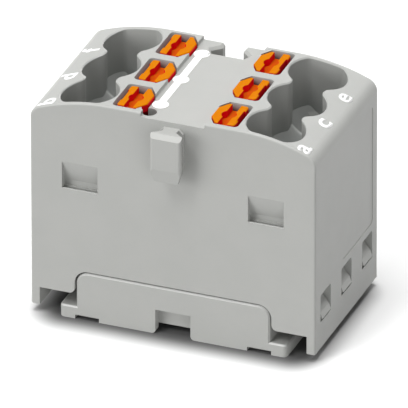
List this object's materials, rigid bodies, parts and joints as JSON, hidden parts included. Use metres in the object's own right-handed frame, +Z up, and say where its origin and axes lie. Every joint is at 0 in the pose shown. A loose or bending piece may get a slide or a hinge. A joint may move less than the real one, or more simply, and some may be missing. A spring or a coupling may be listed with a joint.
{
  "type": "power distribution block",
  "caption": "Moulded terminal block joining push-in conductors on one current bar, with release buttons, and a dovetail peg and socket to join blocks in a row.",
  "frame": {"origin": "centre of the block's footprint, on the surface that the foot stands on", "axes": "+X along the block's length, +Y across it away from the face with the joining peg, +Z up"},
  "size_m": [0.0274, 0.0175, 0.0221],
  "materials": {
    "housing_plastic": "fine matt grey moulding",
    "foot_plastic": "fine matt grey moulding",
    "button_plastic": "orange, satin",
    "bar_copper": "rolled copper",
    "spring_steel": "rolled spring steel",
    "cage_steel": "nickel-plated sheet"
  },
  "bodies": {
    "block": {"housing": "housing_plastic", "base_foot": "foot_plastic", "current_bar": "bar_copper", "clamping_spring_a": "spring_steel", "clamping_spring_b": "spring_steel", "clamping_spring_c": "spring_steel", "clamping_spring_d": "spring_steel", "clamping_spring_e": "spring_steel", "clamping_spring_f": "spring_steel", "spring_cage_a": "cage_steel", "spring_cage_b": "cage_steel", "spring_cage_c": "cage_steel", "spring_cage_d": "cage_steel", "spring_cage_e": "cage_steel", "spring_cage_f": "cage_steel"},
    "button_a": {"push_button_a": "button_plastic"},
    "button_b": {"push_button_b": "button_plastic"},
    "button_c": {"push_button_c": "button_plastic"},
    "button_d": {"push_button_d": "button_plastic"},
    "button_e": {"push_button_e": "button_plastic"},
    "button_f": {"push_button_f": "button_plastic"}
  },
  "joints": [
    {"name": "button_a_press", "type": "slide", "parent": "block", "child": "button_a", "axis": [0, 0, -1], "range_m": [0, 0.0015], "stiffness_N_per_m": 6000, "springref_m": -0.0008, "deforming": ["clamping_spring_a"]},
    {"name": "button_b_press", "type": "slide", "parent": "block", "child": "button_b", "axis": [0, 0, -1], "range_m": [0, 0.0015], "stiffness_N_per_m": 6000, "springref_m": -0.0008, "deforming": ["clamping_spring_b"]},
    {"name": "button_c_press", "type": "slide", "parent": "block", "child": "button_c", "axis": [0, 0, -1], "range_m": [0, 0.0015], "stiffness_N_per_m": 6000, "springref_m": -0.0008, "deforming": ["clamping_spring_c"]},
    {"name": "button_d_press", "type": "slide", "parent": "block", "child": "button_d", "axis": [0, 0, -1], "range_m": [0, 0.0015], "stiffness_N_per_m": 6000, "springref_m": -0.0008, "deforming": ["clamping_spring_d"]},
    {"name": "button_e_press", "type": "slide", "parent": "block", "child": "button_e", "axis": [0, 0, -1], "range_m": [0, 0.0015], "stiffness_N_per_m": 6000, "springref_m": -0.0008, "deforming": ["clamping_spring_e"]},
    {"name": "button_f_press", "type": "slide", "parent": "block", "child": "button_f", "axis": [0, 0, -1], "range_m": [0, 0.0015], "stiffness_N_per_m": 6000, "springref_m": -0.0008, "deforming": ["clamping_spring_f"]}
  ]
}
